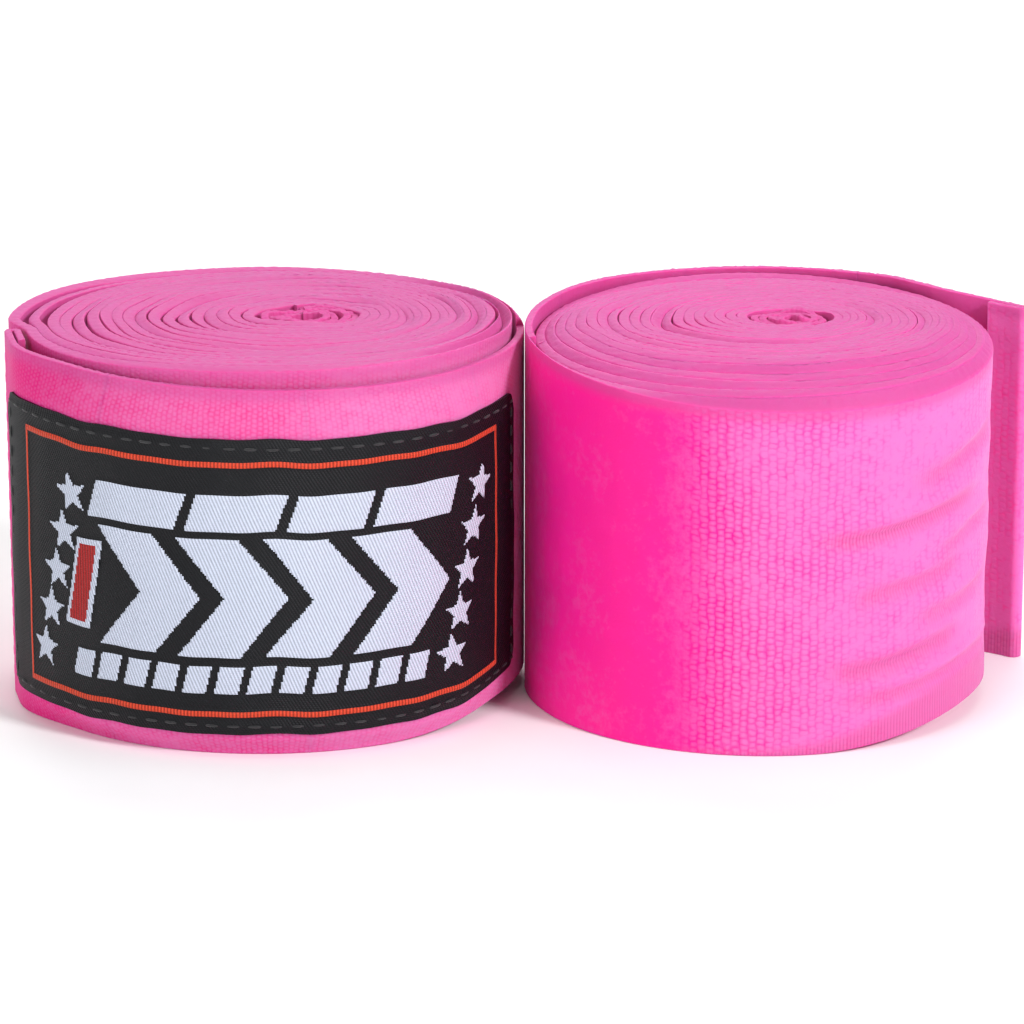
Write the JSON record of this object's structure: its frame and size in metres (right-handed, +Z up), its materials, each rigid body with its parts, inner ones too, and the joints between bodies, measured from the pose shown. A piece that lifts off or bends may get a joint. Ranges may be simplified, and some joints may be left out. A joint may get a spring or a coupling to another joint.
{
  "type": "hand wrap",
  "caption": "Pair of rolled elastic cloth hand wraps standing on edge, with peelable hook-and-loop ends, woven label and thumb loop.",
  "frame": {"origin": "centre of the pair's bounding box, on the surface that both rolls stand on", "axes": "+Z up, along both rolls' axes; +X from the labelled roll to the plain one; +Y to the back, away from the left roll's label"},
  "size_m": [0.1384, 0.0696, 0.05],
  "materials": {
    "band": "matt elastic cotton weave, hot pink",
    "webbing": "thin pink cotton webbing",
    "thread": "pink polyester sewing thread",
    "loop_pile": "soft napped loop pile, pink",
    "hooks": "stiff nylon hooks on a woven ground, pink",
    "label": "woven damask label, black twill ground with white, orange-red and red figuring",
    "label_thread": "black polyester sewing thread"
  },
  "bodies": {
    "left_roll": {"left_wound_band": "band", "left_thumb_loop": "webbing", "left_thumb_loop_bartack": "thread", "left_loop_patch": "loop_pile", "left_loop_patch_stitching": "thread"},
    "left_tab_1": {"left_band_end_1": "band", "left_label_1": "label", "left_label_stitching_1": "label_thread"},
    "left_tab_2": {"left_band_end_2": "band", "left_label_2": "label", "left_label_stitching_2": "label_thread", "left_hook_patch_2": "hooks"},
    "left_tab_3": {"left_band_end_3": "band", "left_label_3": "label", "left_label_stitching_3": "label_thread", "left_hook_patch_3": "hooks"},
    "left_tab_4": {"left_band_end_4": "band", "left_label_4": "label", "left_label_stitching_4": "label_thread", "left_hook_patch_4": "hooks", "left_end_hem": "band", "left_hem_stitching": "thread"},
    "right_roll": {"right_wound_band": "band", "right_thumb_loop": "webbing", "right_thumb_loop_bartack": "thread", "right_loop_patch": "loop_pile", "right_loop_patch_stitching": "thread"},
    "right_tab_1": {"right_band_end_1": "band", "right_label_1": "label", "right_label_stitching_1": "label_thread"},
    "right_tab_2": {"right_band_end_2": "band", "right_label_2": "label", "right_label_stitching_2": "label_thread", "right_hook_patch_2": "hooks"},
    "right_tab_3": {"right_band_end_3": "band", "right_label_3": "label", "right_label_stitching_3": "label_thread", "right_hook_patch_3": "hooks"},
    "right_tab_4": {"right_band_end_4": "band", "right_label_4": "label", "right_label_stitching_4": "label_thread", "right_hook_patch_4": "hooks", "right_end_hem": "band", "right_hem_stitching": "thread"}
  },
  "joints": [
    {"name": "left_peel", "type": "hinge", "parent": "left_roll", "child": "left_tab_1", "pos_m": [-0.00077, -0.00524, 0], "axis": [0, 0, 1], "range_deg": [0, 28]},
    {"name": "left_peel_2", "type": "hinge", "parent": "left_tab_1", "child": "left_tab_2", "pos_m": [-0.01409, -0.02865, 0], "axis": [0, 0, 1], "range_deg": [0, 42]},
    {"name": "left_peel_3", "type": "hinge", "parent": "left_tab_2", "child": "left_tab_3", "pos_m": [-0.0414, -0.03372, 0], "axis": [0, 0, 1], "range_deg": [0, 42]},
    {"name": "left_peel_4", "type": "hinge", "parent": "left_tab_3", "child": "left_tab_4", "pos_m": [-0.0643, -0.01798, 0], "axis": [0, 0, 1], "range_deg": [0, 42]},
    {"name": "right_peel", "type": "hinge", "parent": "right_roll", "child": "right_tab_1", "pos_m": [0.00047, 0.00044, 0], "axis": [0, 0, 1], "range_deg": [0, 6]},
    {"name": "right_peel_2", "type": "hinge", "parent": "right_tab_1", "child": "right_tab_2", "pos_m": [0.00989, 0.02385, 0], "axis": [0, 0, 1], "range_deg": [0, 42]},
    {"name": "right_peel_3", "type": "hinge", "parent": "right_tab_2", "child": "right_tab_3", "pos_m": [0.03482, 0.03171, 0], "axis": [0, 0, 1], "range_deg": [0, 42]},
    {"name": "right_tip_lift", "type": "hinge", "parent": "right_tab_3", "child": "right_tab_4", "pos_m": [0.05801, 0.01964, 0], "axis": [0, 0, 1], "range_deg": [-28, 20]},
    {"name": "rolls_apart", "type": "slide", "parent": "left_roll", "child": "right_roll", "axis": [1, 0, 0], "range_m": [0, 0.15]}
  ],
  "couplings": [
    {"joint": "left_peel_2", "follows": "left_peel", "ratio": 1.5},
    {"joint": "left_peel_3", "follows": "left_peel", "ratio": 1.5},
    {"joint": "left_peel_4", "follows": "left_peel", "ratio": 1.5},
    {"joint": "right_peel_2", "follows": "right_peel", "ratio": 7},
    {"joint": "right_peel_3", "follows": "right_peel", "ratio": 7}
  ]
}
